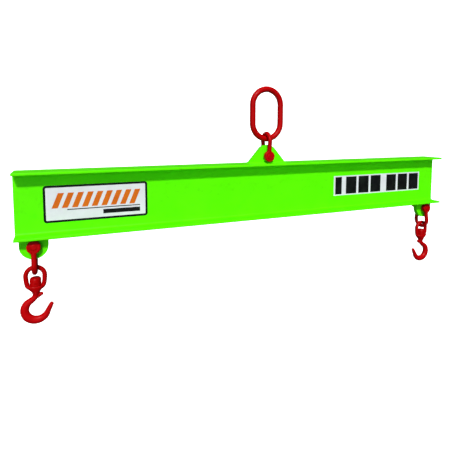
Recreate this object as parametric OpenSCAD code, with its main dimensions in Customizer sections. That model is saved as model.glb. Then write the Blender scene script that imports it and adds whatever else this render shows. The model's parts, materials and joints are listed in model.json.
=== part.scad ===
// Fixed-length spreader beam: a wide-flange section with welded pin lugs, hung from
// an oblong master link, with a shackle and a swivel hook under each end.
// Origin: the inside crown of the master link, where the crane hook bears. +Z is up,
// +X runs along the beam and +Y across it.

/* [Beam] */
// Overall length of the beam
beam_len = 1730; // [1700:10:3000]
// Depth of the wide-flange section
beam_h = 206; // [200:1:260]
// Width of the flanges
flange_w = 102; // [90:1:160]
// Thickness of the flanges
flange_t = 8; // [6:0.5:14]
// Thickness of the web
web_t = 6.2; // [5:0.1:10]
// Radius of the root fillets between web and flanges
root_r = 9; // [4:0.5:14]
// Distance between the two lower pin axes
spread = 1626; // [1200:2:1630]

/* [Lugs] */
// Thickness of all three lug plates
lug_t = 19; // [12:0.5:22]
// Distance from each pin axis to the flange face beside it
pin_offset = 26; // [24:0.5:34]
// Radius of the lower lugs around their pins
low_lug_r = 42; // [34:1:46]
// Radius of the top lug around its pin
top_lug_r = 43; // [34:1:46]
// Length of the top lug along the flange
top_lug_w = 148; // [110:2:220]
// Leg length of the fillet welds around the lugs
weld_leg = 6; // [3:0.5:8]

/* [Shackles] */
// Diameter of the bow's bar
bow_bar = 16; // [13:0.5:18]
// Gap between the shackle's two ears
jaw = 28; // [24:0.5:32]
// Distance from the pin axis to the inside of the bow
bow_reach = 77.5; // [74:0.5:84]
// Widest inside width of the bow
bow_inside_w = 42; // [38:0.5:48]
// Radius of the ears
ear_r = 20.5; // [17:0.5:22]
// Thickness of the ears
ear_t = 17; // [16:0.5:20]
// Diameter of the screw pin
pin_d = 19; // [16:0.5:22]

/* [Master link] */
// Diameter of the link's bar
link_bar = 22; // [18:0.5:26]
// Inside length of the link
link_inside_l = 164; // [150:1:200]
// Inside width of the link
link_inside_w = 95; // [80:1:110]

/* [Swivel eyes] */
// Diameter of the eye's bar
eye_bar = 14.4; // [12:0.2:16]
// Outside width of the eye
eye_w = 69; // [66:1:76]
// Distance from the eye's inside crown to the window floor
window_h = 51.2; // [48:0.2:56]
// Height of the solid boss under the window
boss_h = 22; // [18:0.5:28]

/* [Hooks] */
// Diameter of the hook's shank
shank_d = 16; // [14:0.5:18]
// Radius of the nut that holds the shank in the eye
nut_r = 16.6; // [14:0.2:18]
// Height of the nut
nut_h = 26; // [24:0.5:30]
// Distance from the eye's bottom face down to the centre of the bowl
throat_drop = 56; // [54:0.5:66]
// Radius of the hook's centre line around the bowl
bowl_r = 34; // [32:0.5:38]

/* [Decals] */
// Length of the owner's decal
name_decal_l = 325; // [200:5:340]
// Height of the owner's decal
name_decal_h = 118; // [80:1:120]
// Length of the capacity decal
load_decal_l = 470; // [300:5:490]
// Height of the capacity decal
load_decal_h = 82; // [60:1:110]

/* [Hidden] */
$fn = 64;

lime = "#60fe02";
red = "#d8101c";
white = "#f6f6f4";
black = "#141414";
orange = "#f08020";

// Clearances: bars that bear on each other, bolted fits, and running fits
bar_gap = 0.3;
seat_gap = 0.05;
run_gap = 0.08;
face_gap = 0.2;

pin_r = pin_d / 2;
shank_r = shank_d / 2;
lug_hole_r = pin_r + run_gap;

// Heights, measured down from the inside crown of the master link
link_bar_z = -link_inside_l - link_bar / 2;
top_pin_z = -link_inside_l + bar_gap - bow_reach;
beam_top_z = top_pin_z - pin_offset;
beam_bottom_z = beam_top_z - beam_h;
web_z = (beam_top_z + beam_bottom_z) / 2;
low_pin_z = beam_bottom_z - pin_offset;
eye_crown_z = low_pin_z - bow_reach + bar_gap;
eye_bend_r = (eye_w - eye_bar) / 2;
eye_bend_z = eye_crown_z + eye_bar / 2 - eye_bend_r;
floor_z = eye_crown_z - window_h;
eye_bottom_z = floor_z - boss_h;
bowl_z = eye_bottom_z - throat_drop;
nut_z = floor_z + face_gap;
nut_pin_z = nut_z + 9;
nut_pin_r = 2.5;
shank_top_z = nut_z + nut_h - 7;
collar_z = eye_bottom_z - face_gap;
collar_h = 7;

// ---- shared shapes ----

// A round-cornered rectangle in the XY plane, centred on the origin
module round_rect(l, h, r) {
    square([l - 2 * r, h], center = true);
    square([l, h - 2 * r], center = true);
    for (sx = [-1, 1], sy = [-1, 1])
        translate([sx * (l / 2 - r), sy * (h / 2 - r)])
            circle(r = r);
}

// Turns a flat XY outline of the given thickness to stand in the XZ plane, its
// back face on Y = 0 and its front face towards -Y
module stand_up(thick) {
    rotate([90, 0, 0])
        linear_extrude(thick)
            children();
}

// An arch of round bar in the YZ plane: a half circle of the given centre-line
// radius above Z = 0, and two straight legs that lean in to foot_y at -leg_len
module bar_arch(bar_d, bend_r, foot_y, leg_len) {
    lean = bend_r - foot_y;
    rotate([90, 0, 90])
        rotate_extrude(angle = 180)
            translate([bend_r, 0])
                circle(d = bar_d);
    for (side = [-1, 1])
        translate([0, side * bend_r, 0]) {
            sphere(d = bar_d);
            rotate([180 - side * atan(lean / leg_len), 0, 0])
                cylinder(d = bar_d, h = norm([lean, leg_len]));
        }
}

// Closed skin over rings of points, each ring the same length, with flat end caps
module skin(rings) {
    n = len(rings[0]);
    last = len(rings) - 1;
    points = [for (ring = rings) for (p = ring) p];
    sides = [for (i = [0:last - 1]) for (j = [0:n - 1])
        let (a = i * n + j, b = i * n + (j + 1) % n)
        for (face = [[a, b, b + n], [a, b + n, a + n]]) face];
    first_cap = [for (j = [n - 1:-1:0]) j];
    last_cap = [for (j = [0:n - 1]) last * n + j];
    polyhedron(points, concat([first_cap], sides, [last_cap]));
}

// ---- beam body ----

module beam_section() {
    translate([-flange_w / 2, beam_h / 2 - flange_t])
        square([flange_w, flange_t]);
    translate([-flange_w / 2, -beam_h / 2])
        square([flange_w, flange_t]);
    difference() {
        square([web_t + 2 * root_r, beam_h - flange_t], center = true);
        for (side = [-1, 1])
            translate([side * (web_t / 2 + root_r), 0]) {
                square([2 * root_r, beam_h - 2 * flange_t - 2 * root_r], center = true);
                for (end = [-1, 1])
                    translate([0, end * (beam_h / 2 - flange_t - root_r)])
                        circle(r = root_r);
            }
    }
}

module beam() {
    color(lime)
        translate([-beam_len / 2, 0, web_z])
            rotate([90, 0, 90])
                linear_extrude(beam_len)
                    beam_section();
}

// Half of a disc, above Y = 0 when side is 1 and below it when side is -1
module half_disc(r, side) {
    intersection() {
        circle(r = r);
        translate([0, side * r])
            square([4 * r, 2 * r], center = true);
    }
}

// Top lug outline about its pin: a round nose with flanks that run down to the foot.
// The flanks end just inside the nose, so that they meet its edge at a clear angle.
module top_lug_outline() {
    foot_x = top_lug_w / 2;
    foot_y = weld_leg - pin_offset;
    reach = sqrt(foot_x * foot_x + foot_y * foot_y);
    flank = atan2(foot_y, foot_x) + acos(top_lug_r / reach);
    sunk = 0.98;
    top = sunk * top_lug_r * [cos(flank), sin(flank)];
    half_disc(top_lug_r, 1);
    polygon([
        [-foot_x, -pin_offset], [foot_x, -pin_offset], [foot_x, foot_y], top,
        [-top[0], top[1]], [-foot_x, foot_y]
    ]);
}

module top_lug() {
    color(lime)
        translate([0, lug_t / 2, top_pin_z])
            difference() {
                stand_up(lug_t)
                    top_lug_outline();
                rotate([90, 0, 0])
                    translate([0, 0, -1])
                        cylinder(r = lug_hole_r, h = lug_t + 2);
            }
}

// Lower lug: straight sides from the flange to the pin, then a half round
module low_lug(x) {
    color(lime)
        translate([x, lug_t / 2, low_pin_z])
            difference() {
                stand_up(lug_t)
                    union() {
                        half_disc(low_lug_r, -1);
                        translate([-low_lug_r, 0])
                            square([2 * low_lug_r, pin_offset]);
                    }
                rotate([90, 0, 0])
                    translate([0, 0, -1])
                        cylinder(r = lug_hole_r, h = lug_t + 2);
            }
}

// Fillet weld all round a lug's foot of length foot_l, standing on Z = 0
module weld_ring(foot_l) {
    difference() {
        intersection() {
            rotate([90, 0, 0])
                linear_extrude(lug_t + 2 * weld_leg, center = true)
                    weld_profile(foot_l);
            rotate([90, 0, 90])
                linear_extrude(foot_l + 2 * weld_leg, center = true)
                    weld_profile(lug_t);
        }
        translate([-foot_l / 2, -lug_t / 2, -1])
            cube([foot_l, lug_t, weld_leg + 2]);
    }
}

// Side view of a weld bead on both sides of a plate of the given width
module weld_profile(plate_w) {
    foot = plate_w / 2 + weld_leg;
    polygon([
        [-foot, 0], [foot, 0], [plate_w / 2, weld_leg], [-plate_w / 2, weld_leg]
    ]);
}

module top_lug_welds() {
    color(lime)
        translate([0, 0, beam_top_z])
            weld_ring(top_lug_w);
}

module low_lug_welds(x) {
    color(lime)
        translate([x, 0, beam_bottom_z])
            mirror([0, 0, 1])
                weld_ring(2 * low_lug_r);
}

// ---- decals on the front of the web ----

film_t = 0.4;
ink_t = 0.2;
web_face_y = -web_t / 2;
ink_face_y = web_face_y - film_t;
decal_z = web_z - 3;
name_decal_x = -620;
load_decal_x = 548;
decal_corner_r = 10;
border_w = 7;

module name_decal() {
    color(white)
        translate([name_decal_x, web_face_y, decal_z])
            stand_up(film_t)
                round_rect(name_decal_l, name_decal_h, decal_corner_r);
}

// Black print: a border round the panel, a thin rule and a plain bar
module name_decal_border() {
    rule = [230, 3];
    bar = [120, 14];
    color(black)
        translate([name_decal_x, ink_face_y, decal_z])
            stand_up(ink_t) {
                difference() {
                    round_rect(name_decal_l, name_decal_h, decal_corner_r);
                    round_rect(name_decal_l - 2 * border_w, name_decal_h - 2 * border_w,
                               decal_corner_r - border_w);
                }
                translate([22, -20])
                    square(rule, center = true);
                translate([77, -34])
                    square(bar, center = true);
            }
}

// Generic print in place of the owner's mark: a row of slanted stripes
module name_decal_stripes() {
    count = 9;
    pitch = 30;
    stripe_w = 18;
    stripe_h = 48;
    slant = 20;
    color(orange)
        translate([name_decal_x, ink_face_y, decal_z + 10])
            stand_up(ink_t)
                for (i = [0:count - 1])
                    translate([(i - (count - 1) / 2) * pitch - (stripe_w + slant) / 2, 0])
                        polygon([
                            [0, -stripe_h / 2], [stripe_w, -stripe_h / 2],
                            [stripe_w + slant, stripe_h / 2], [slant, stripe_h / 2]
                        ]);
}

module load_decal() {
    color(white)
        translate([load_decal_x, web_face_y, decal_z])
            stand_up(film_t)
                square([load_decal_l, load_decal_h], center = true);
}

// Generic print in place of the lettering: a narrow block and two groups of three
module load_decal_blocks() {
    block_h = 72;
    narrow = 32;
    wide = 54;
    wide_x = [-146, -81, -16, 71, 136, 201];
    color(black)
        translate([load_decal_x, ink_face_y, decal_z])
            stand_up(ink_t) {
                translate([-211, 0])
                    square([narrow, block_h], center = true);
                for (x = wide_x)
                    translate([x, 0])
                        square([wide, block_h], center = true);
            }
}

// ---- lifting hardware ----

module master_link() {
    bend_r = (link_inside_w + link_bar) / 2;
    straight = link_inside_l - link_inside_w;
    color(red)
        translate([0, 0, -link_inside_l / 2]) {
            for (side = [-1, 1])
                translate([side * bend_r, 0, -straight / 2])
                    cylinder(d = link_bar, h = straight);
            for (end = [0, 1])
                mirror([0, 0, end])
                    translate([0, 0, straight / 2])
                        rotate([90, 0, 0])
                            rotate_extrude(angle = 180)
                                translate([bend_r, 0])
                                    circle(d = link_bar);
        }
}

// Shackle about its pin axis, which runs along Y, with the bow upwards
module shackle_bow_up() {
    bend_r = (bow_inside_w + bow_bar) / 2;
    ear_y = (jaw + ear_t) / 2;
    bend_z = bow_reach - bow_inside_w / 2;
    leg_end_z = (pin_r + ear_r) / 2;
    color(red)
        difference() {
            union() {
                translate([0, 0, bend_z])
                    bar_arch(bow_bar, bend_r, ear_y, bend_z - leg_end_z);
                for (side = [-1, 1])
                    translate([0, side * ear_y, 0])
                        rotate([90, 0, 0])
                            cylinder(r = ear_r, h = ear_t, center = true);
            }
            rotate([90, 0, 0])
                cylinder(r = pin_r + seat_gap, h = jaw + 2 * ear_t + 20, center = true);
        }
}

// Screw pin: its end just proud of the front ear, its collar and eye behind
module screw_pin() {
    ear_face = jaw / 2 + ear_t;
    proud = 1.5;
    collar_t = 3;
    collar_r = 14.5;
    eye_r = 12;
    eye_t = 9;
    eye_hole_r = 5;
    eye_y = ear_face + seat_gap + collar_t + eye_r - 3;
    color(red) {
        difference() {
            union() {
                translate([0, -ear_face - proud, 0])
                    rotate([-90, 0, 0])
                        cylinder(r = pin_r, h = 2 * ear_face + proud + collar_t);
                translate([0, ear_face + seat_gap, 0])
                    rotate([-90, 0, 0])
                        cylinder(r = collar_r, h = collar_t);
                translate([0, eye_y, 0])
                    cylinder(r = eye_r, h = eye_t, center = true);
            }
            translate([0, eye_y, 0])
                cylinder(r = eye_hole_r, h = eye_t + 2, center = true);
        }
    }
}

module top_shackle_bow() {
    translate([0, 0, top_pin_z])
        shackle_bow_up();
}

module top_shackle_pin() {
    translate([0, 0, top_pin_z])
        screw_pin();
}

module low_shackle_bow(x) {
    translate([x, 0, low_pin_z])
        mirror([0, 0, 1])
            shackle_bow_up();
}

module low_shackle_pin(x) {
    translate([x, 0, low_pin_z])
        screw_pin();
}

// Swivel eye: an arch of bar in the XZ plane on a tapered boss bored for the shank
module swivel_eye(x) {
    eye_foot_x = 25;
    boss_top = [32.5, 16];
    boss_foot_r = 12;
    rim = 2;
    color(red)
        translate([x, 0, 0])
            difference() {
                union() {
                    translate([0, 0, eye_bend_z])
                        rotate([0, 0, 90])
                            bar_arch(eye_bar, eye_bend_r, eye_foot_x, eye_bend_z - floor_z + 3);
                    translate([0, 0, eye_bottom_z])
                        hull() {
                            translate([0, 0, boss_h - rim])
                                scale([boss_top[0], boss_top[1], 1])
                                    cylinder(r = 1, h = rim, $fn = 48);
                            cylinder(r = boss_foot_r, h = rim, $fn = 48);
                        }
                }
                translate([0, 0, eye_bottom_z - 1])
                    cylinder(r = shank_r + run_gap, h = boss_h + 2);
            }
}

// Domed nut on the end of the shank, cross drilled for its locking pin
module hook_nut(x) {
    skirt = nut_h - 7.5;
    dome = nut_h - skirt;
    crown_r = 10.5;
    color(red)
        translate([x, 0, nut_z])
            difference() {
                rotate_extrude()
                    difference() {
                        polygon(concat(
                            [[0, 0], [nut_r, 0]],
                            [for (a = [0:6:90])
                                [crown_r + (nut_r - crown_r) * cos(a), skirt + dome * sin(a)]],
                            [[0, nut_h]]
                        ));
                        square([shank_r + seat_gap, nut_h - 6]);
                    }
                translate([0, 0, nut_pin_z - nut_z])
                    rotate([90, 0, 0])
                        cylinder(r = nut_pin_r + seat_gap, h = 3 * nut_r, center = true);
            }
}

module nut_pin(x) {
    color(red)
        translate([x, 0, nut_pin_z])
            rotate([90, 0, 0])
                cylinder(r = nut_pin_r, h = 2 * nut_r - 2, center = true);
}

// Hook centre line about the bowl's centre: [x, z, half depth, half width]
bowl_start = 150;
bowl_end = 342;
bowl_steps = 24;
shoulder_steps = 12;
tip_steps = 6;
tip_len = 31;
tip_angle = 62;
ring_n = 20;
shoulder = [
    [0, throat_drop - 6],
    [0, throat_drop - 22],
    [-bowl_r * 0.74, bowl_r * 0.80],
    [bowl_r * cos(bowl_start), bowl_r * sin(bowl_start)]
];
shoulder_depth = [[0, 8.6], [0.45, 9.4], [1, 12.2]];
bowl_depth = [[150, 12.2], [180, 13.0], [225, 13.6], [270, 12.7], [315, 10.9], [342, 8.6]];
tip_depth = [[0, 8.6], [0.5, 7.4], [0.84, 6.0], [0.95, 4.2], [1, 1.6]];

function bezier(p, t) =
    pow(1 - t, 3) * p[0] + 3 * t * pow(1 - t, 2) * p[1]
    + 3 * t * t * (1 - t) * p[2] + pow(t, 3) * p[3];
function bowl_point(a) = [bowl_r * cos(a), bowl_r * sin(a)];
function half_width(depth) = min(depth, 4 + 0.5 * depth);

function shoulder_station(t) =
    let (d = lookup(t, shoulder_depth))
    [bezier(shoulder, t), d];
function bowl_station(a) = [bowl_point(a), lookup(a, bowl_depth)];
function tip_station(t) =
    [bowl_point(bowl_end) + t * tip_len * [cos(tip_angle), sin(tip_angle)],
     lookup(t, tip_depth)];
stations = concat(
    [for (i = [0:shoulder_steps - 1]) shoulder_station(i / shoulder_steps)],
    [for (i = [0:bowl_steps])
        bowl_station(bowl_start + i * (bowl_end - bowl_start) / bowl_steps)],
    [for (t = [1 / tip_steps:1 / tip_steps:0.84]) tip_station(t)],
    [tip_station(0.95), tip_station(1)]
);

// Direction of the centre line at station i, from its neighbours
function run_dir(i) =
    let (a = stations[max(i - 1, 0)][0], b = stations[min(i + 1, len(stations) - 1)][0])
    (b - a) / norm(b - a);
function hook_ring(i) =
    let (c = stations[i][0], d = stations[i][1], run = run_dir(i), out = [-run[1], run[0]])
    [for (j = [0:ring_n - 1])
        let (a = 360 * j / ring_n, in_plane = c + d * cos(a) * out)
        [in_plane[0], half_width(d) * sin(a), in_plane[1]]];

module hook_forging() {
    nub_r = 5.5;
    nub_root_r = 8.5;
    nub_t = 9;
    skin([for (i = [0:len(stations) - 1]) hook_ring(i)]);
    hull() {
        translate([15, 0, throat_drop - 7.5])
            rotate([90, 0, 0])
                cylinder(r = nub_r, h = nub_t, center = true, $fn = 32);
        translate([0, 0, throat_drop - 14])
            rotate([90, 0, 0])
                cylinder(r = nub_root_r, h = nub_t, center = true, $fn = 32);
    }
    translate([0, 0, throat_drop - face_gap - collar_h])
        cylinder(r1 = 8.8, r2 = 11.5, h = collar_h);
}

// Hook with its shank, open towards +X when facing is 1 and -X when it is -1
module hook(x, facing) {
    color(red)
        translate([x, 0, 0])
            difference() {
                union() {
                    translate([0, 0, bowl_z])
                        mirror([facing < 0 ? 1 : 0, 0, 0])
                            hook_forging();
                    translate([0, 0, collar_z - 1])
                        cylinder(r = shank_r, h = shank_top_z - collar_z + 1);
                }
                translate([0, 0, nut_pin_z])
                    rotate([90, 0, 0])
                        cylinder(r = nut_pin_r + seat_gap, h = 3 * shank_r, center = true);
            }
}

// ---- nodes ----

left_x = -spread / 2;
right_x = spread / 2;

beam();
top_lug();
low_lug(left_x);  // left_lug
low_lug(right_x);  // right_lug
top_lug_welds();
low_lug_welds(left_x);  // left_lug_welds
low_lug_welds(right_x);  // right_lug_welds
name_decal();
name_decal_border();
name_decal_stripes();
load_decal();
load_decal_blocks();
master_link();
top_shackle_bow();
top_shackle_pin();
low_shackle_bow(left_x);  // left_shackle_bow
low_shackle_pin(left_x);  // left_shackle_pin
low_shackle_bow(right_x);  // right_shackle_bow
low_shackle_pin(right_x);  // right_shackle_pin
swivel_eye(left_x);  // left_eye
hook(left_x, 1);  // left_hook
hook_nut(left_x);  // left_nut
nut_pin(left_x);  // left_nut_pin
swivel_eye(right_x);  // right_eye
hook(right_x, -1);  // right_hook
hook_nut(right_x);  // right_nut
nut_pin(right_x);  // right_nut_pin
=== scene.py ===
"""Spreader beam: the visual model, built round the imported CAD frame, in metres.

Shapes are worked out in millimetres, each about its own natural centre, and are placed
where the frame says. The beam, lugs, welds and lifting hardware are new meshes that stand
for their CAD nodes; the decals are the CAD nodes with better materials.
"""
import json
import math
import random

import bmesh
import bpy
from mathutils import Matrix, Vector


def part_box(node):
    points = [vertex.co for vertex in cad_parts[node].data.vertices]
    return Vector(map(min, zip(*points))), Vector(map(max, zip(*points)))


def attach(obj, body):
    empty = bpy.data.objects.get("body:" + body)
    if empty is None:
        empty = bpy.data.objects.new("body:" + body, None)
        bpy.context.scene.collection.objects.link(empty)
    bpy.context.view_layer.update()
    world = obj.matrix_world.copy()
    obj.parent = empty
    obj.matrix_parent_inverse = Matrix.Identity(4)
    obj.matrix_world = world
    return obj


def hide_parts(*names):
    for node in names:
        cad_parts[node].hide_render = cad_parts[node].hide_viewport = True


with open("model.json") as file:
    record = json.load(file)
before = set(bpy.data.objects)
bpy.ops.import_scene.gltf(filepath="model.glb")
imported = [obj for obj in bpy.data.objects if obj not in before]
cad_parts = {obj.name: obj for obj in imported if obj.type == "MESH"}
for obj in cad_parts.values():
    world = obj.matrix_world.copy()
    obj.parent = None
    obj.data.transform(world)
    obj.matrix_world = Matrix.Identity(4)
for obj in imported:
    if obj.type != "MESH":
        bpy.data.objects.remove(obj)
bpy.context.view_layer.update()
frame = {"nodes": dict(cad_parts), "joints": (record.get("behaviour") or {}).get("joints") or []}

MM = 0.001
X, Y, Z = Vector((1, 0, 0)), Vector((0, 1, 0)), Vector((0, 0, 1))
scene = bpy.context.scene

# ---- places, all from the frame ----

pivot = {joint["name"]: Vector(joint["pos_m"]) for joint in frame["joints"]}
beam_low, beam_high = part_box("beam")
eye_low, eye_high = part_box("left_eye")
nut_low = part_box("left_nut")[0]
hook_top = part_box("left_hook")[1].z
link_low, link_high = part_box("master_link")

# ---- sizes in millimetres: R is a radius, T a thickness, H a height ----

FLANGE_T, WEB_T, ROOT_R = 8, 6.2, 9
TOE_R, SAW_EDGE = 1.4, 0.7
LUG_T, LUG_HOLE_R, LUG_EDGE = 19, 9.6, 0.9
PIN_OFFSET, TOP_LUG_R, LOW_LUG_R, TOP_LUG_FOOT = 26, 43, 42, 148
WELD_LEG = 6
BOW_BAR, BOW_BEND_R, BOW_BEND_Z = 16, 29, 56.5
EAR_Y, EAR_T, EAR_R = 22.5, 17, 20.5
PIN_R = 9.5
LINK_BAR, LINK_BEND_R, LINK_STRAIGHT = 22, 58.5, 69
EYE_BAR, EYE_BEND_R, BOSS_H = 14.4, 27.3, 22
SHANK_R, NUT_R, NUT_H = 8, 16.6, 26
BOWL_R, THROAT_DROP = 34, 56
NUT_PIN_R, COLLAR_H = 2.5, 7
PIN_FIT, SEAT_FIT, SWIVEL_FIT = 0.06, 0.06, 0.09


# ---- mesh helpers: every point is in millimetres ----

def ring(centre, u, v, count=32):
    """Points of an ellipse with half axes u and v."""
    angles = [2 * math.pi * i / count for i in range(count)]
    return [centre + u * math.cos(a) + v * math.sin(a) for a in angles]


def skin(bm, rings, closed=False):
    """Quads between rings of equal length: a closed loop of rings, or a run with flat caps."""
    rows = [[bm.verts.new(p) for p in points] for points in rings]
    count = len(rows[0])
    pairs = list(zip(rows, rows[1:] + rows[:1])) if closed else list(zip(rows, rows[1:]))
    for low, high in pairs:
        for i in range(count):
            j = (i + 1) % count
            bm.faces.new((low[i], low[j], high[j], high[i]))
    if not closed:
        bm.faces.new(list(reversed(rows[0])))
        bm.faces.new(rows[-1])


def bar(bm, path, normal, halves, closed=False, count=32):
    """Skin along a flat path. halves gives each station's half size in the path's plane
    and across it."""
    rings = []
    for i, point in enumerate(path):
        after = path[(i + 1) % len(path)] if closed or i + 1 < len(path) else point
        before = path[i - 1] if closed or i else point
        across = normal.cross((after - before).normalized())
        in_plane, out = halves[i]
        rings.append(ring(point, across * in_plane, normal * out, count))
    skin(bm, rings, closed)


def lathe(bm, origin, axis, profile, count=48):
    """Solid of revolution. profile lists (height along the axis, radius)."""
    u = axis.orthogonal().normalized()
    v = axis.cross(u)
    skin(bm, [ring(origin + axis * h, u * r, v * r, count) for h, r in profile])


def rounded(radius, half_height, edge, steps=5):
    """Lathe profile of a disc with rounded edges, centred on its origin."""
    turn = [math.pi / 2 * i / steps for i in range(steps + 1)]
    low = [(-half_height + edge * (1 - math.sin(a)), radius - edge * (1 - math.cos(a)))
           for a in reversed(turn)]
    return low + [(-h, r) for h, r in reversed(low)]


def arc(centre, radius, start, end, steps):
    """(u, v) points along an arc, with angles in degrees."""
    angles = [math.radians(start + (end - start) * i / steps) for i in range(steps + 1)]
    return [(centre[0] + radius * math.cos(a), centre[1] + radius * math.sin(a)) for a in angles]


def line(start, end, steps):
    """(u, v) points along a line, without its last point."""
    return [(start[0] + (end[0] - start[0]) * i / steps, start[1] + (end[1] - start[1]) * i / steps)
            for i in range(steps)]


def new_object(name, bm):
    """A mesh object from bm, with outward normals."""
    bmesh.ops.recalc_face_normals(bm, faces=bm.faces)
    mesh = bpy.data.meshes.new(name)
    bm.to_mesh(mesh)
    bm.free()
    obj = bpy.data.objects.new(name, mesh)
    scene.collection.objects.link(obj)
    return obj


def baked(obj):
    """The object's mesh with its modifiers applied. The object itself is removed."""
    graph = bpy.context.evaluated_depsgraph_get()
    mesh = bpy.data.meshes.new_from_object(obj.evaluated_get(graph))
    bpy.data.objects.remove(obj)
    return mesh


def cut(mesh, cutters):
    """mesh with each cutter, a (start, end, radius) cylinder, taken out."""
    obj = bpy.data.objects.new("work", mesh)
    scene.collection.objects.link(obj)
    tools = []
    for start, end, radius in cutters:
        bm = bmesh.new()
        lathe(bm, start, (end - start).normalized(), [(0, radius), ((end - start).length, radius)], 72)
        tools.append(new_object("tool", bm))
        step = obj.modifiers.new("cut", "BOOLEAN")
        step.operation, step.solver, step.object = "DIFFERENCE", "EXACT", tools[-1]
    result = baked(obj)
    for tool in tools:
        bpy.data.objects.remove(tool)
    return result


def forged(bm, voxel, rounds, cutters=()):
    """One smooth skin round the overlapping shells in bm, with crisp bores."""
    obj = new_object("blank", bm)
    remesh = obj.modifiers.new("remesh", "REMESH")
    remesh.mode, remesh.voxel_size = "VOXEL", voxel
    smooth = obj.modifiers.new("smooth", "SMOOTH")
    smooth.factor, smooth.iterations = 0.5, rounds
    mesh = baked(obj)
    return cut(mesh, cutters) if cutters else mesh


def turned(bm, cutters=()):
    """The mesh of shells that need no blending."""
    mesh = baked(new_object("blank", bm))
    return cut(mesh, cutters) if cutters else mesh


def place(name, mesh, matrix, body, material, node=None, sharp=35, parting=None):
    """An object in metres from a millimetre mesh, riding on body and standing for node.
    parting is the axis across the forging's parting plane."""
    mesh = mesh.copy()
    if parting is not None:
        flash = mesh.attributes.new("parting", "FLOAT", "POINT")
        flash.data.foreach_set("value", [v.co.dot(parting) * MM for v in mesh.vertices])
    mesh.transform(matrix @ Matrix.Scale(MM, 4))
    if matrix.determinant() < 0:
        mesh.flip_normals()
    mesh.name = name
    mesh.materials.clear()
    mesh.materials.append(material)
    mesh.polygons.foreach_set("use_smooth", [True] * len(mesh.polygons))
    mesh.set_sharp_from_angle(angle=math.radians(sharp))
    obj = bpy.data.objects.new(name, mesh)
    scene.collection.objects.link(obj)
    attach(obj, body)
    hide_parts(node)
    return obj


# ---- materials ----

class Nodes:
    """A short way to build a material's nodes."""

    def __init__(self, name):
        self.material = bpy.data.materials.new(name)
        self.material.use_nodes = True
        self.tree = self.material.node_tree
        self.shader = self.tree.nodes["Principled BSDF"]
        self.coords = self.tree.nodes.new("ShaderNodeTexCoord").outputs["Object"]

    def link(self, source, socket):
        self.tree.links.new(source, socket)

    def noise(self, scale, detail=2, roughness=0.5, vector=None):
        node = self.tree.nodes.new("ShaderNodeTexNoise")
        node.inputs["Scale"].default_value = scale
        node.inputs["Detail"].default_value = detail
        node.inputs["Roughness"].default_value = roughness
        self.link(vector or self.coords, node.inputs["Vector"])
        return node.outputs["Fac"]

    def stretched(self, scale):
        """Object coordinates stretched by scale."""
        node = self.tree.nodes.new("ShaderNodeMapping")
        node.inputs["Scale"].default_value = scale
        self.link(self.coords, node.inputs["Vector"])
        return node.outputs["Vector"]

    def span(self, value, low, high, to_low=0.0, to_high=1.0):
        """value mapped smoothly from low..high to to_low..to_high."""
        node = self.tree.nodes.new("ShaderNodeMapRange")
        node.interpolation_type = "SMOOTHSTEP"
        for name, number in (("From Min", low), ("From Max", high),
                             ("To Min", to_low), ("To Max", to_high)):
            node.inputs[name].default_value = number
        self.link(value, node.inputs["Value"])
        return node.outputs["Result"]

    def math(self, operation, a, b=None):
        node = self.tree.nodes.new("ShaderNodeMath")
        node.operation = operation
        for socket, value in zip(node.inputs, (a, b)):
            if isinstance(value, (int, float)):
                socket.default_value = value
            elif value is not None:
                self.link(value, socket)
        return node.outputs["Value"]

    def mix(self, factor, a, b):
        node = self.tree.nodes.new("ShaderNodeMix")
        node.data_type = "RGBA"
        self.link(factor, node.inputs["Factor"])
        for name, value in (("A", a), ("B", b)):
            socket = next(s for s in node.inputs if s.name == name and s.type == "RGBA")
            if isinstance(value, tuple):
                socket.default_value = (*value, 1)
            else:
                self.link(value, socket)
        return next(s for s in node.outputs if s.type == "RGBA")

    def bump(self, height, distance, under=None):
        node = self.tree.nodes.new("ShaderNodeBump")
        node.inputs["Distance"].default_value = distance
        self.link(height, node.inputs["Height"])
        if under is not None:
            self.link(under, node.inputs["Normal"])
        return node.outputs["Normal"]


def paint(name, base, thin, thick, roughness, specular, coat, wear):
    """Sprayed enamel on steel: drifting film thickness, orange peel and small scuffs."""
    n = Nodes(name)
    drift = n.span(n.noise(9, 3), 0.3, 0.7)
    colour = n.mix(drift, thin, base)
    pooled = n.span(n.noise(60, 4, 0.6), 0.52, 0.75)
    colour = n.mix(n.math("MULTIPLY", pooled, 0.5), colour, thick)
    scuff = n.math("MULTIPLY", n.span(n.noise(420, 3, 0.7), 0.66, 0.72), n.span(n.noise(26, 2), 0.52, 0.66))
    colour = n.mix(n.math("MULTIPLY", scuff, wear), colour, thin)
    n.link(colour, n.shader.inputs["Base Color"])
    rough = n.math("ADD", n.span(n.noise(35, 3), 0.3, 0.7, roughness - 0.05, roughness + 0.07),
                   n.math("MULTIPLY", scuff, 0.25))
    n.link(rough, n.shader.inputs["Roughness"])
    n.shader.inputs["Specular IOR Level"].default_value = specular
    n.shader.inputs["Coat Weight"].default_value = coat
    n.shader.inputs["Coat Roughness"].default_value = 0.16
    return n


def enamel(name, base, thin, thick, roughness, specular, coat, wear):
    """Paint on rolled and flame-cut steel."""
    n = paint(name, base, thin, thick, roughness, specular, coat, wear)
    mill = n.bump(n.noise(1, 3, 0.5, n.stretched((7, 16, 16))), 0.0006)
    peel = n.bump(n.noise(620, 2, 0.45), 0.00005, mill)
    n.link(peel, n.shader.inputs["Normal"])
    return n.material


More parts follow.
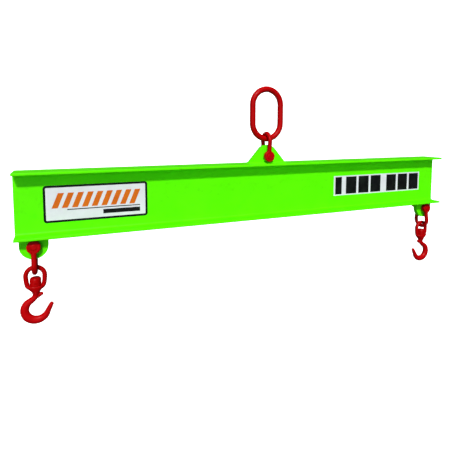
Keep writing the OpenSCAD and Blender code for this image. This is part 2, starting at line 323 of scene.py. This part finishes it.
def forging_enamel(name, base, thin, thick, roughness, specular, coat, wear):
    """Paint on forged steel: scale pits and the line where the dies met."""
    n = paint(name, base, thin, thick, roughness, specular, coat, wear)
    distance = n.tree.nodes.new("ShaderNodeAttribute")
    distance.attribute_name = "parting"
    flash = n.span(n.math("ABSOLUTE", distance.outputs["Fac"]), 0.0003, 0.0011, 1, 0)
    lump = n.bump(n.noise(95, 3, 0.55), 0.0005)
    pitted = n.bump(n.noise(520, 3, 0.6), 0.00012, lump)
    line_bump = n.bump(flash, 0.00035, pitted)
    n.link(line_bump, n.shader.inputs["Normal"])
    return n.material


def film(name, base, aged, roughness, specular):
    """Printed vinyl: faint ageing, a fine texture and slow ripples."""
    n = Nodes(name)
    colour = n.mix(n.span(n.noise(22, 4, 0.6), 0.35, 0.75), base, aged)
    n.link(colour, n.shader.inputs["Base Color"])
    n.link(n.span(n.noise(55, 3), 0.3, 0.7, roughness - 0.05, roughness + 0.08),
           n.shader.inputs["Roughness"])
    n.shader.inputs["Specular IOR Level"].default_value = specular
    ripple = n.bump(n.noise(1, 2, 0.5, n.stretched((14, 14, 40))), 0.0004)
    n.link(n.bump(n.noise(900, 2, 0.5), 0.00002, ripple), n.shader.inputs["Normal"])
    return n.material


green = enamel("lime_enamel", (0.118, 0.95, 0.0003), (0.132, 0.98, 0.0008), (0.092, 0.84, 0.0002),
               0.42, 0.08, 0.03, 0.5)
red = forging_enamel("red_enamel", (0.47, 0.0003, 0.0009), (0.55, 0.0010, 0.0025),
                     (0.29, 0.0002, 0.0005), 0.36, 0.09, 0.03, 0.5)
white_vinyl = film("white_vinyl", (0.88, 0.80, 0.88), (0.82, 0.75, 0.81), 0.38, 0.3)
black_print = film("black_print", (0.006, 0.006, 0.007), (0.016, 0.016, 0.016), 0.42, 0.1)
orange_print = film("orange_print", (0.80, 0.16, 0.008), (0.70, 0.12, 0.008), 0.40, 0.2)


# ---- beam ----

def section_outline():
    """The section's outline in (y, z) about its centre, with root fillets and eased toes."""
    half_h = (beam_high.z - beam_low.z) / MM / 2
    half_w = (beam_high.y - beam_low.y) / MM / 2
    root = (WEB_T / 2 + ROOT_R, half_h - FLANGE_T - ROOT_R)
    quarter = [(WEB_T / 2, root[1] * i / 4) for i in range(4)]
    quarter += arc(root, ROOT_R, 180, 90, 7)
    quarter += line((root[0] + 4, half_h - FLANGE_T), (half_w - TOE_R, half_h - FLANGE_T), 3)
    quarter += arc((half_w - TOE_R, half_h - FLANGE_T + TOE_R), TOE_R, -90, 0, 4)
    quarter += arc((half_w - TOE_R, half_h - TOE_R), TOE_R, 0, 90, 4)
    quarter += [((half_w - TOE_R) * i / 4, half_h) for i in (3, 2, 1, 0)]
    right = [(y, -z) for y, z in reversed(quarter[1:])] + quarter
    return right + [(-y, z) for y, z in reversed(right[1:-1])]


def inset(outline, distance):
    """The outline moved inwards by distance."""
    result = []
    for i, (y, z) in enumerate(outline):
        (y0, z0), (y1, z1) = outline[i - 1], outline[(i + 1) % len(outline)]
        along = Vector((y1 - y0, z1 - z0)).normalized()
        result.append((y - along.y * distance, z + along.x * distance))
    return result


def beam_mesh():
    half_l = (beam_high.x - beam_low.x) / MM / 2
    outline = section_outline()
    stations = [(-half_l, SAW_EDGE), (-half_l + SAW_EDGE, 0)]
    stations += [(x, 0) for x in range(-840, 841, 40)]
    stations += [(half_l - SAW_EDGE, 0), (half_l, SAW_EDGE)]
    bm = bmesh.new()
    skin(bm, [[Vector((x, y, z)) for y, z in inset(outline, edge)] for x, edge in stations])
    return turned(bm)


# ---- lugs and welds ----

def lug_radius(angle, foot_half, nose_r, flank):
    """Distance from the pin to a lug's edge in a direction, with the foot towards -Z.
    flank is the angle at which the round nose meets the straight side."""
    direction = Vector((math.cos(angle), math.sin(angle)))
    if direction.y >= math.sin(flank) - 1e-9:
        return nose_r
    reach = [nose_r / max(1e-9, abs(direction.x) * math.cos(flank) + direction.y * math.sin(flank)),
             foot_half / max(1e-9, abs(direction.x))]
    if direction.y < 0:
        reach.append(PIN_OFFSET / -direction.y)
    return min(r for r in reach if r > 0)


def lug_mesh(foot_half, nose_r, flank):
    """A plate with eased edges and a drilled hole, standing in the XZ plane."""
    corner = math.atan2(-PIN_OFFSET, foot_half)
    step = math.atan2(WELD_LEG - PIN_OFFSET, foot_half)
    special = [corner, math.pi - corner, step, math.pi - step, flank, math.pi - flank]
    steps = 120
    angles = sorted(set([round(2 * math.pi * i / steps - math.pi, 6) for i in range(steps)]
                        + [round((a + math.pi) % (2 * math.pi) - math.pi, 6) for a in special]))
    half_t = LUG_T / 2
    hole_edge = 0.6
    loops = [
        (LUG_HOLE_R + hole_edge, 0, -half_t), (None, LUG_EDGE, -half_t),
        (None, 0, -half_t + LUG_EDGE), (None, 0, half_t - LUG_EDGE),
        (None, LUG_EDGE, half_t), (LUG_HOLE_R + hole_edge, 0, half_t),
        (LUG_HOLE_R, 0, half_t - hole_edge), (LUG_HOLE_R, 0, -half_t + hole_edge),
    ]
    rings = []
    for radius, less, y in loops:
        points = []
        for a in angles:
            r = radius or lug_radius(a, foot_half, nose_r, flank) - less
            points.append(Vector((r * math.cos(a), y, r * math.sin(a))))
        rings.append(points)
    bm = bmesh.new()
    skin(bm, rings, closed=True)
    return turned(bm)


def weld_mesh(foot_half, seed):
    """A rippled fillet bead all round a lug's foot, standing on Z = 0."""
    chance = random.Random(seed)
    ripple_pitch, step, sink, turn_steps = 3.4, 0.6, 0.5, 9
    half_t = LUG_T / 2
    corners = [(foot_half, half_t), (-foot_half, half_t), (-foot_half, -half_t), (foot_half, -half_t)]
    stations, run = [], 0
    for i, corner in enumerate(corners):
        before, after = Vector(corners[i - 1]), Vector(corners[(i + 1) % 4])
        here = Vector(corner)
        first, last = (here - before).normalized(), (after - here).normalized()
        for k in range(turn_steps):
            a = math.pi / 2 * k / turn_steps
            out = Vector((first.y, -first.x)) * math.cos(a) + Vector((last.y, -last.x)) * math.sin(a)
            stations.append((here, out, run))
            run += WELD_LEG * 0.5 * math.pi / 2 / turn_steps
        count = int((after - here).length / step)
        for k in range(count):
            stations.append((here + (after - here) * k / count, Vector((last.y, -last.x)), run))
            run += (after - here).length / count
    pitch = run / round(run / ripple_pitch)
    height = [chance.uniform(0.8, 1.25) for _ in range(round(run / pitch) + 1)]
    rings = []
    for base, out, s in stations:
        ripple = (1 - (s / pitch) % 1) ** 1.6 * height[int(s / pitch)]
        wander = 0.35 * math.sin(s * 0.19 + seed) + 0.25 * math.sin(s * 0.53)
        points = [(-sink, -sink), (WELD_LEG + wander, -sink)]
        for k in range(7):
            f = k / 6
            bulge = (0.45 + 0.55 * ripple) * math.sin(math.pi * f)
            leg = WELD_LEG + wander * (1 - f) * 0.8
            points.append((leg * (1 - f) + bulge * 0.7, WELD_LEG * f + bulge * 0.7))
        points.append((-sink, WELD_LEG))
        rings.append([Vector((*(base + out * u), v)) for u, v in points])
    bm = bmesh.new()
    skin(bm, rings, closed=True)
    return turned(bm)


# ---- shackles ----

def bow_mesh():
    """A shackle's forged bow about its pin, bow upwards in the YZ plane."""
    ear_top = 8
    leg = line((EAR_Y, ear_top), (BOW_BEND_R, BOW_BEND_Z), 14)
    half = leg + arc((0, BOW_BEND_Z), BOW_BEND_R, 0, 90, 16)
    flat = half + [(-y, z) for y, z in reversed(half[:-1])]
    path = [Vector((0, y, z)) for y, z in flat]
    flare_end, flare = 27, 3
    halves = []
    for y, z in flat:
        near_ear = max(0, (flare_end - z) / (flare_end - ear_top)) ** 2
        halves.append((BOW_BAR / 2, BOW_BAR / 2 + flare * near_ear))
    bm = bmesh.new()
    bar(bm, path, X, halves)
    for side in (-1, 1):
        lathe(bm, Vector((0, side * EAR_Y, 0)), Y, rounded(EAR_R, EAR_T / 2, 3.2), 64)
    past = EAR_Y + EAR_T
    return forged(bm, 1.0, 5, [(Y * -past, Y * past, PIN_R + PIN_FIT)])


def pin_mesh():
    """A screw pin along Y about its own middle: chamfered end in front, collar and eye behind."""
    ear_face = EAR_Y + EAR_T / 2
    front, collar_t, collar_r = -ear_face - 1.5, 3, 14.5
    eye_r, eye_hole_r, eye_t = 12, 5, 9
    eye_y = ear_face + collar_t + eye_r - 2.95
    bm = bmesh.new()
    lathe(bm, Vector((0, 0, 0)), Y, [
        (front, 3), (front + 0.05, 7.9), (front + 0.4, 8.6), (front + 1.5, PIN_R),
        (ear_face + collar_t, PIN_R)
    ])
    middle = ear_face + 0.05 + collar_t / 2
    lathe(bm, Vector((0, middle, 0)), Y, rounded(collar_r, collar_t / 2, 1.1))
    mean_r, half_w, half_t = (eye_r + eye_hole_r) / 2, (eye_r - eye_hole_r) / 2, eye_t / 2
    loop = [Vector((mean_r * math.cos(a), eye_y + mean_r * math.sin(a), 0))
            for a in [2 * math.pi * i / 64 for i in range(64)]]
    bar(bm, loop, Z, [(half_w, half_t)] * 64, closed=True, count=24)
    lathe(bm, Vector((0, ear_face + collar_t - 1, 0)), Y, [(0, 7.5), (3, 6.2), (5, 5)])
    return forged(bm, 0.7, 2)


def link_mesh():
    """The oblong link about its middle, in the XZ plane."""
    half = LINK_STRAIGHT / 2
    flat = line((LINK_BEND_R, -half), (LINK_BEND_R, half), 14)
    flat += arc((0, half), LINK_BEND_R, 0, 180, 44)
    flat += line((-LINK_BEND_R, half), (-LINK_BEND_R, -half), 14)[1:]
    flat += arc((0, -half), LINK_BEND_R, 180, 360, 44)[:-1]
    path = [Vector((x, 0, z)) for x, z in flat]
    bm = bmesh.new()
    bar(bm, path, Y, [(LINK_BAR / 2, LINK_BAR / 2)] * len(path), closed=True, count=40)
    return turned(bm)


# ---- swivel eyes, hooks and nuts ----

def eye_mesh():
    """A swivel eye on the axis of its shank, standing on the boss's lower face."""
    bend_z = (eye_high.z - eye_low.z) / MM - EYE_BAR / 2 - EYE_BEND_R
    leg = [(17, 11, 3.6), (19.6, 15, 5.4), (21.8, 19, 6.6), (23.4, 22.5, 7.1), (24.8, 28, 7.2),
           (26, 35, 7.2), (26.9, 43, 7.2)]
    bend = [(x, z, EYE_BAR / 2) for x, z in arc((0, bend_z), EYE_BEND_R, 0, 90, 16)]
    half = leg + bend
    whole = half + [(-x, z, r) for x, z, r in reversed(half[:-1])]
    bm = bmesh.new()
    bar(bm, [Vector((x, 0, z)) for x, z, _ in whole], Y, [(r, r) for _, _, r in whole])
    boss = [(0, 11.6, 11.6), (0.7, 12.1, 12.1), (4, 14.2, 12.8), (8.4, 18.2, 14), (12, 22.2, 15),
            (15.4, 25.8, 15.7), (18.6, 29, 16), (20.8, 29.8, 15.6), (BOSS_H, 28.4, 14.2)]
    skin(bm, [ring(Z * h, X * a, Y * b, 56) for h, a, b in boss])
    past = 5
    return forged(bm, 0.9, 4, [(Z * -past, Z * (BOSS_H + past), SHANK_R + SWIVEL_FIT)])


def hook_stations():
    """The hook's centre line about its bowl: (x, z, half depth). The mouth faces +X."""
    start, end, tip_len, tip_angle = 150, 342, 31, math.radians(62)
    start_point = arc((0, 0), BOWL_R, start, start, 1)[0]
    end_point = arc((0, 0), BOWL_R, end, end, 1)[0]
    control = [Vector((0, THROAT_DROP - 6)), Vector((0, THROAT_DROP - 22)),
               Vector((-0.74 * BOWL_R, 0.80 * BOWL_R)), Vector(start_point)]
    stations = []
    for i in range(26):
        t = i / 26
        weights = ((1 - t) ** 3, 3 * t * (1 - t) ** 2, 3 * t * t * (1 - t), t ** 3)
        point = sum((c * w for c, w in zip(control, weights)), Vector((0, 0)))
        stations.append((point.x, point.y, between(t, [(0, 8.6), (0.45, 9.4), (1, 12.2)])))
    depth = [(150, 12.2), (180, 13.0), (225, 13.6), (270, 12.7), (315, 10.9), (342, 8.6)]
    for i in range(53):
        a = start + (end - start) * i / 52
        x, z = arc((0, 0), BOWL_R, a, a, 1)[0]
        stations.append((x, z, between(a, depth)))
    for t in (0.12, 0.24, 0.36, 0.48, 0.60, 0.72, 0.84, 0.92, 0.97, 1):
        run = tip_len * t
        half = between(t, [(0, 8.6), (0.5, 7.6), (0.84, 6.5), (0.92, 5.6), (0.97, 4.0), (1, 1.7)])
        stations.append((end_point[0] + run * math.cos(tip_angle),
                         end_point[1] + run * math.sin(tip_angle), half))
    return stations


def between(value, table):
    """The value of a piecewise linear table of (key, result)."""
    for (k0, r0), (k1, r1) in zip(table, table[1:]):
        if value <= k1:
            return r0 + (r1 - r0) * (value - k0) / (k1 - k0)
    return table[-1][1]


def hook_mesh(shank_top, pin_z):
    """A forged hook with its shank, about the centre of its bowl."""
    stations = hook_stations()
    bm = bmesh.new()
    bar(bm, [Vector((x, 0, z)) for x, z, _ in stations], Y,
        [(d, min(d, 4 + 0.5 * d)) for _, _, d in stations], count=36)
    neck = THROAT_DROP - 0.2 - COLLAR_H
    lathe(bm, Z * neck, Z, [(-2, 7.6), (0, 8.8), (COLLAR_H - 0.8, 11.4), (COLLAR_H, 10.9)])
    lathe(bm, Z * neck, Z, [(0, SHANK_R), (shank_top - neck - 1, SHANK_R), (shank_top - neck, SHANK_R - 1)])
    # the nub that a safety latch would hang on: (run, half depth) along its slope
    nub = [(-2, 6.5), (0, 8.3), (4, 8.1), (8, 7.5), (12, 6.9), (16, 6.3), (19, 5.6), (21, 4.4),
           (22.4, 2.8), (23, 1)]
    slope = Vector((15, 0, 6.5)).normalized()
    root = Vector((0, 0, THROAT_DROP - 14))
    bar(bm, [root + slope * run for run, _ in nub], Y, [(r, min(r, 5)) for _, r in nub])
    past = SHANK_R + 4
    cross_hole = (Vector((0, -past, pin_z)), Vector((0, past, pin_z)), NUT_PIN_R + 0.1)
    return forged(bm, 0.9, 4, [cross_hole])


def nut_mesh(pin_z):
    """The domed shank nut, standing on its lower face and cross drilled for its pin."""
    dome, top_r, chamfer, steps, roof = 7.5, 10.5, 1, 8, 6
    skirt = NUT_H - dome
    profile = [(0, NUT_R - chamfer), (chamfer, NUT_R), (skirt, NUT_R)]
    for i in range(1, steps + 1):
        a = math.pi / 2 * i / steps
        profile.append((skirt + dome * math.sin(a), top_r + (NUT_R - top_r) * math.cos(a)))
    profile += [(NUT_H - 0.05, 5), (NUT_H, 0.6)]
    bm = bmesh.new()
    lathe(bm, Vector((0, 0, 0)), Z, profile, 72)
    past = NUT_R + 3.4
    socket = (Z * -1, Z * (NUT_H - roof), SHANK_R + SEAT_FIT)
    cross_hole = (Vector((0, -past, pin_z)), Vector((0, past, pin_z)), NUT_PIN_R + 0.05)
    return turned(bm, [socket, cross_hole])


def nut_pin_mesh():
    """The nut's locking pin along Y about its middle, with softly domed ends."""
    half = NUT_R - 1
    ends = [(0, 0.5), (0.12, 1.3), (0.4, 2.0), (0.9, NUT_PIN_R)]
    profile = [(-half + h, r) for h, r in ends] + [(half - h, r) for h, r in reversed(ends)]
    bm = bmesh.new()
    lathe(bm, Vector((0, 0, 0)), Y, profile, 32)
    return turned(bm)


# ---- put the pieces in place ----

def at(point):
    return Matrix.Translation(point)


upside_down = Matrix.Rotation(math.pi, 4, "Y")
beam_middle = Vector((0, 0, (beam_low.z + beam_high.z) / 2))
place("beam_section", beam_mesh(), at(beam_middle), "beam", green, "beam", sharp=40)

top_foot = TOP_LUG_FOOT / 2
foot_z = WELD_LEG - PIN_OFFSET
top_flank = math.atan2(foot_z, top_foot) + math.acos(TOP_LUG_R / math.hypot(top_foot, foot_z))
place("top_lug_plate", lug_mesh(top_foot, TOP_LUG_R, top_flank), at(pivot["beam_tip"]),
      "beam", green, "top_lug")
place("top_lug_weld", weld_mesh(top_foot, 1), at(Vector((0, 0, beam_high.z))),
      "beam", green, "top_lug_welds", sharp=50)

low_plate = lug_mesh(LOW_LUG_R, LOW_LUG_R, 0)
bow, pin = bow_mesh(), pin_mesh()
place("top_bow", bow, at(pivot["beam_tip"]), "top_shackle", red, "top_shackle_bow",
      parting=X)
place("top_pin", pin, at(pivot["beam_tip"]), "top_shackle", red, "top_shackle_pin")
place("oblong_link", link_mesh(), at((link_low + link_high) / 2), "link", red,
      "master_link")

bowl_z = eye_low.z - THROAT_DROP * MM
nut_pin_z = sum(corner.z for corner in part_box("left_nut_pin")) / 2
eye = eye_mesh()
hook = hook_mesh((hook_top - bowl_z) / MM, (nut_pin_z - bowl_z) / MM)
nut = nut_mesh((nut_pin_z - nut_low.z) / MM)
nut_pin = nut_pin_mesh()

for side, facing, seed in (("left", 1, 2), ("right", -1, 3)):
    pin_axis = pivot[f"{side}_shackle_swing"]
    axis_x = pin_axis.x
    mouth = Matrix.Scale(facing, 4, X)
    place(f"{side}_lug_plate", low_plate, at(pin_axis) @ upside_down, "beam", green,
          f"{side}_lug")
    place(f"{side}_lug_weld", weld_mesh(LOW_LUG_R, seed),
          at(Vector((axis_x, 0, beam_low.z))) @ upside_down, "beam", green,
          f"{side}_lug_welds", sharp=50)
    place(f"{side}_bow", bow, at(pin_axis) @ upside_down, f"{side}_shackle", red,
          f"{side}_shackle_bow", parting=X)
    place(f"{side}_pin", pin, at(pin_axis), f"{side}_shackle", red,
          f"{side}_shackle_pin")
    place(f"{side}_swivel_eye", eye, at(Vector((axis_x, 0, eye_low.z))), f"{side}_swivel",
          red, f"{side}_eye", parting=Y)
    place(f"{side}_forged_hook", hook, at(Vector((axis_x, 0, bowl_z))) @ mouth, f"{side}_hook",
          red, f"{side}_hook", parting=Y)
    place(f"{side}_shank_nut", nut, at(Vector((axis_x, 0, nut_low.z))), f"{side}_hook",
          red, f"{side}_nut")
    place(f"{side}_locking_pin", nut_pin, at(Vector((axis_x, 0, nut_pin_z))), f"{side}_hook",
          red, f"{side}_nut_pin")

for node, material in (("name_decal", white_vinyl), ("load_decal", white_vinyl),
                       ("name_decal_border", black_print), ("load_decal_blocks", black_print),
                       ("name_decal_stripes", orange_print)):
    mesh = frame["nodes"][node].data
    mesh.materials.clear()
    mesh.materials.append(material)


# ---- floor, light and camera, in metres ----

FLOOR_Z = -1.9


def studio():
    """A pale round floor that curves up into its own backdrop on every side."""
    flat_r, cove_r, wall_h, count, steps = 4.5, 2.5, 7.0, 96, 10
    profile = [(0.02, 0), (1.5, 0), (3.0, 0), (flat_r, 0)]
    profile += [(flat_r + cove_r * math.sin(a), cove_r * (1 - math.cos(a)))
                for a in [math.pi / 2 * i / steps for i in range(1, steps + 1)]]
    profile.append((flat_r + cove_r, cove_r + wall_h))
    bm = bmesh.new()
    rows = [[bm.verts.new(p) for p in ring(Z * h, X * r, Y * r, count)] for r, h in profile]
    for low, high in zip(rows, rows[1:]):
        for i in range(count):
            j = (i + 1) % count
            bm.faces.new((low[i], low[j], high[j], high[i]))
    bm.faces.new(rows[0])
    floor = new_object("studio_floor", bm)
    floor.data.polygons.foreach_set("use_smooth", [True] * len(floor.data.polygons))
    floor.location.z = FLOOR_Z
    n = Nodes("pale_floor")
    colour = n.mix(n.noise(0.6, 2), (0.86, 0.86, 0.86), (0.89, 0.89, 0.89))
    n.link(colour, n.shader.inputs["Base Color"])
    n.shader.inputs["Roughness"].default_value = 0.9
    n.shader.inputs["Specular IOR Level"].default_value = 0.1
    n.shader.inputs["Emission Color"].default_value = (1, 1, 1, 1)
    n.shader.inputs["Emission Strength"].default_value = 0.8
    floor.data.materials.append(n.material)
    floor.visible_shadow = False
    floor.visible_diffuse = False
    floor.visible_glossy = False


def sun(name, travel, strength, angle, colour=(1, 1, 1), shines=False):
    """A sun whose light travels along travel. angle, in degrees, is how soft it is."""
    light = bpy.data.lights.new(name, "SUN")
    light.energy = strength
    light.color = colour
    light.angle = math.radians(angle)
    obj = bpy.data.objects.new(name, light)
    obj.rotation_euler = Vector(travel).to_track_quat("-Z", "Y").to_euler()
    obj.visible_glossy = shines
    scene.collection.objects.link(obj)


studio()
sun("key", (0.26, 1.0, -0.85), 2.6, 5, shines=True)
sun("front_fill", (0.37, 0.92, -0.12), 0.7, 40, (0.65, 1.0, 1.0))
sun("top_fill", (0.05, 0.1, -1.0), 0.7, 50)
sun("back_fill", (-0.3, -0.9, -0.35), 0.7, 60)

world = bpy.data.worlds.new("ambient")
world.use_nodes = True
world.node_tree.nodes["Background"].inputs["Color"].default_value = (0.8, 1.0, 1.0, 1)
world.node_tree.nodes["Background"].inputs["Strength"].default_value = 0.16
world.cycles_visibility.glossy = False
scene.world = world

camera = bpy.data.objects.new("camera", bpy.data.cameras.new("camera"))
camera.location = (-0.7214, -1.3614, -0.1367)
camera.rotation_euler = (math.radians(85.06), 0, math.radians(-22.04))
camera.data.lens = 32.17
camera.data.sensor_width = 36
camera.data.shift_y = -0.137
camera.data.clip_end = 50
scene.collection.objects.link(camera)
scene.camera = camera
scene.view_settings.view_transform = "Standard"
